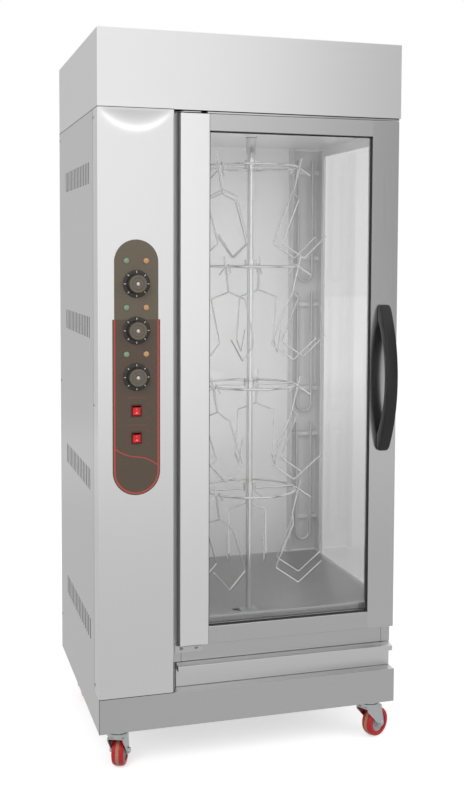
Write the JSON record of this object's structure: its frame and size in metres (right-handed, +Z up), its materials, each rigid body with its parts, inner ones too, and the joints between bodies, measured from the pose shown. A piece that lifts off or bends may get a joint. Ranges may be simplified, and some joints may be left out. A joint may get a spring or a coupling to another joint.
{
  "type": "vertical rotisserie",
  "caption": "Upright stainless rotisserie oven on casters, with a control column, glazed hinged door, turning spit with hooks on rings, and a sliding drip tray.",
  "frame": {"origin": "on the floor under the middle of the whole object's box", "axes": "+X to the right seen from the door, +Y to the back, +Z up"},
  "size_m": [0.775, 0.72, 1.775],
  "materials": {
    "stainless_steel": "brushed",
    "heater_steel": "heat darkened",
    "spit_steel": "polished",
    "zinc_steel": "zinc plated",
    "door_glass": "clear",
    "fascia_film": "satin",
    "black_plastic": "fine texture",
    "knob_plastic": "satin",
    "green_lens": "clear gloss",
    "amber_lens": "clear gloss",
    "red_rocker": "gloss",
    "red_tyre": "satin polyurethane",
    "motor_paint": "satin"
  },
  "bodies": {
    "cabinet": {"base_plinth": "stainless_steel", "left_side_panel": "stainless_steel", "control_column": "stainless_steel", "control_fascia": "fascia_film", "top_hood": "stainless_steel", "back_panel": "stainless_steel", "cable_gland": "black_plastic", "right_side_frame": "stainless_steel", "right_side_glass": "door_glass", "chamber_partition": "stainless_steel", "chamber_back_liner": "stainless_steel", "chamber_ceiling": "stainless_steel", "funnel_floor": "stainless_steel", "front_frame": "stainless_steel", "hinge_brackets": "zinc_steel", "heater_troughs": "heater_steel", "heating_elements": "heater_steel", "foot_bearing": "spit_steel", "gear_motor": "motor_paint", "thermostats": "black_plastic", "pilot_lamps_green": "green_lens", "pilot_lamps_amber": "amber_lens", "rocker_bezels": "black_plastic", "caster_plates": "zinc_steel"},
    "door": {"door_hinge_stile": "stainless_steel", "door_handle_stile": "stainless_steel", "door_top_rail": "stainless_steel", "door_bottom_rail": "stainless_steel", "door_glass": "door_glass", "door_handle": "black_plastic"},
    "carousel": {"spit_shaft": "spit_steel", "tier_rings": "spit_steel"},
    "hook_one_a": {"hook_one_a": "spit_steel"},
    "hook_one_b": {"hook_one_b": "spit_steel"},
    "hook_one_c": {"hook_one_c": "spit_steel"},
    "hook_two_a": {"hook_two_a": "spit_steel"},
    "hook_two_b": {"hook_two_b": "spit_steel"},
    "hook_two_c": {"hook_two_c": "spit_steel"},
    "hook_three_a": {"hook_three_a": "spit_steel"},
    "hook_three_b": {"hook_three_b": "spit_steel"},
    "hook_three_c": {"hook_three_c": "spit_steel"},
    "hook_four_a": {"hook_four_a": "spit_steel"},
    "hook_four_b": {"hook_four_b": "spit_steel"},
    "hook_four_c": {"hook_four_c": "spit_steel"},
    "knob_lower": {"knob_lower": "knob_plastic"},
    "knob_middle": {"knob_middle": "knob_plastic"},
    "knob_upper": {"knob_upper": "knob_plastic"},
    "rocker_lower": {"rocker_lower": "red_rocker"},
    "rocker_upper": {"rocker_upper": "red_rocker"},
    "drip_tray": {"drip_tray": "stainless_steel"},
    "caster_fork_front_left": {"caster_fork_front_left": "zinc_steel"},
    "caster_fork_front_right": {"caster_fork_front_right": "zinc_steel"},
    "caster_fork_rear_left": {"caster_fork_rear_left": "zinc_steel"},
    "caster_fork_rear_right": {"caster_fork_rear_right": "zinc_steel"},
    "caster_wheel_front_left": {"caster_wheel_front_left": "red_tyre"},
    "caster_wheel_front_right": {"caster_wheel_front_right": "red_tyre"},
    "caster_wheel_rear_left": {"caster_wheel_rear_left": "red_tyre"},
    "caster_wheel_rear_right": {"caster_wheel_rear_right": "red_tyre"}
  },
  "joints": [
    {"name": "door_hinge", "type": "hinge", "parent": "cabinet", "child": "door", "pos_m": [-0.18103, -0.284, 0.298], "axis": [0, 0, -1], "range_deg": [0, 110]},
    {"name": "carousel_spin", "type": "hinge", "parent": "cabinet", "child": "carousel", "pos_m": [0.07622, -0.004, 0.2843], "axis": [0, 0, 1], "continuous": true},
    {"name": "hook_one_a_swing", "type": "hinge", "parent": "carousel", "child": "hook_one_a", "pos_m": [0.20075, -0.01489, 1.487], "axis": [-0.0872, -0.9962, 0], "range_deg": [-6, 12]},
    {"name": "hook_one_b_swing", "type": "hinge", "parent": "carousel", "child": "hook_one_b", "pos_m": [0.0234, 0.10929, 1.487], "axis": [0.9063, 0.4226, 0], "range_deg": [-6, 12]},
    {"name": "hook_one_c_swing", "type": "hinge", "parent": "carousel", "child": "hook_one_c", "pos_m": [-0.02741, -0.0739, 1.487], "axis": [-0.5592, 0.829, 0], "range_deg": [-6, 12]},
    {"name": "hook_two_a_swing", "type": "hinge", "parent": "carousel", "child": "hook_two_a", "pos_m": [0.17985, -0.0739, 1.22133], "axis": [-0.5592, -0.829, 0], "range_deg": [-6, 12]},
    {"name": "hook_two_b_swing", "type": "hinge", "parent": "carousel", "child": "hook_two_b", "pos_m": [0.13491, 0.10637, 1.22133], "axis": [0.8829, -0.4695, 0], "range_deg": [-6, 12]},
    {"name": "hook_two_c_swing", "type": "hinge", "parent": "carousel", "child": "hook_two_c", "pos_m": [-0.01369, -0.09083, 1.22133], "axis": [-0.6947, 0.7193, 0], "range_deg": [-6, 12]},
    {"name": "hook_three_a_swing", "type": "hinge", "parent": "carousel", "child": "hook_three_a", "pos_m": [0.18223, -0.07024, 0.90267], "axis": [-0.5299, -0.848, 0], "range_deg": [-6, 12]},
    {"name": "hook_three_b_swing", "type": "hinge", "parent": "carousel", "child": "hook_three_b", "pos_m": [0.13102, 0.10835, 0.90267], "axis": [0.8988, -0.4384, 0], "range_deg": [-6, 12]},
    {"name": "hook_three_c_swing", "type": "hinge", "parent": "carousel", "child": "hook_three_c", "pos_m": [-0.03612, -0.0588, 0.90267], "axis": [-0.4384, 0.8988, 0], "range_deg": [-6, 12]},
    {"name": "hook_four_a_swing", "type": "hinge", "parent": "carousel", "child": "hook_four_a", "pos_m": [0.19368, -0.04675, 0.618], "axis": [-0.342, -0.9397, 0], "range_deg": [-6, 12]},
    {"name": "hook_four_b_swing", "type": "hinge", "parent": "carousel", "child": "hook_four_b", "pos_m": [0.10646, 0.11729, 0.618], "axis": [0.9703, -0.2419, 0], "range_deg": [-6, 12]},
    {"name": "hook_four_c_swing", "type": "hinge", "parent": "carousel", "child": "hook_four_c", "pos_m": [-0.03092, -0.06838, 0.618], "axis": [-0.515, 0.8572, 0], "range_deg": [-6, 12]},
    {"name": "knob_lower_turn", "type": "hinge", "parent": "cabinet", "child": "knob_lower", "pos_m": [-0.29628, -0.2993, 0.963], "axis": [0, 1, 0], "range_deg": [0, 270]},
    {"name": "knob_middle_turn", "type": "hinge", "parent": "cabinet", "child": "knob_middle", "pos_m": [-0.29628, -0.2993, 1.073], "axis": [0, 1, 0], "range_deg": [0, 270]},
    {"name": "knob_upper_turn", "type": "hinge", "parent": "cabinet", "child": "knob_upper", "pos_m": [-0.29628, -0.2993, 1.183], "axis": [0, 1, 0], "range_deg": [0, 270]},
    {"name": "rocker_lower_tilt", "type": "hinge", "parent": "cabinet", "child": "rocker_lower", "pos_m": [-0.29628, -0.296, 0.818], "axis": [-1, 0, 0], "range_deg": [0, 20]},
    {"name": "rocker_upper_tilt", "type": "hinge", "parent": "cabinet", "child": "rocker_upper", "pos_m": [-0.29628, -0.296, 0.883], "axis": [-1, 0, 0], "range_deg": [0, 20]},
    {"name": "drip_tray_slide", "type": "slide", "parent": "cabinet", "child": "drip_tray", "axis": [0, -1, 0], "range_m": [0, 0.4]},
    {"name": "caster_front_left_swivel", "type": "hinge", "parent": "cabinet", "child": "caster_fork_front_left", "pos_m": [-0.33553, -0.26, 0], "axis": [0, 0, 1], "continuous": true},
    {"name": "caster_front_left_roll", "type": "hinge", "parent": "caster_fork_front_left", "child": "caster_wheel_front_left", "pos_m": [-0.32576, -0.23808, 0.038], "axis": [-0.9135, 0.4067, 0], "continuous": true},
    {"name": "caster_front_right_swivel", "type": "hinge", "parent": "cabinet", "child": "caster_fork_front_right", "pos_m": [0.32547, -0.26, 0], "axis": [0, 0, 1], "continuous": true},
    {"name": "caster_front_right_roll", "type": "hinge", "parent": "caster_fork_front_right", "child": "caster_wheel_front_right", "pos_m": [0.34686, -0.2491, 0.038], "axis": [-0.454, 0.891, 0], "continuous": true},
    {"name": "caster_rear_left_swivel", "type": "hinge", "parent": "cabinet", "child": "caster_fork_rear_left", "pos_m": [-0.33553, 0.237, 0], "axis": [0, 0, 1], "continuous": true},
    {"name": "caster_rear_left_roll", "type": "hinge", "parent": "caster_fork_rear_left", "child": "caster_wheel_rear_left", "pos_m": [-0.33553, 0.213, 0.038], "axis": [1, 0, 0], "continuous": true},
    {"name": "caster_rear_right_swivel", "type": "hinge", "parent": "cabinet", "child": "caster_fork_rear_right", "pos_m": [0.32547, 0.237, 0], "axis": [0, 0, 1], "continuous": true},
    {"name": "caster_rear_right_roll", "type": "hinge", "parent": "caster_fork_rear_right", "child": "caster_wheel_rear_right", "pos_m": [0.33747, 0.21621, 0.038], "axis": [0.866, 0.5, 0], "continuous": true}
  ]
}
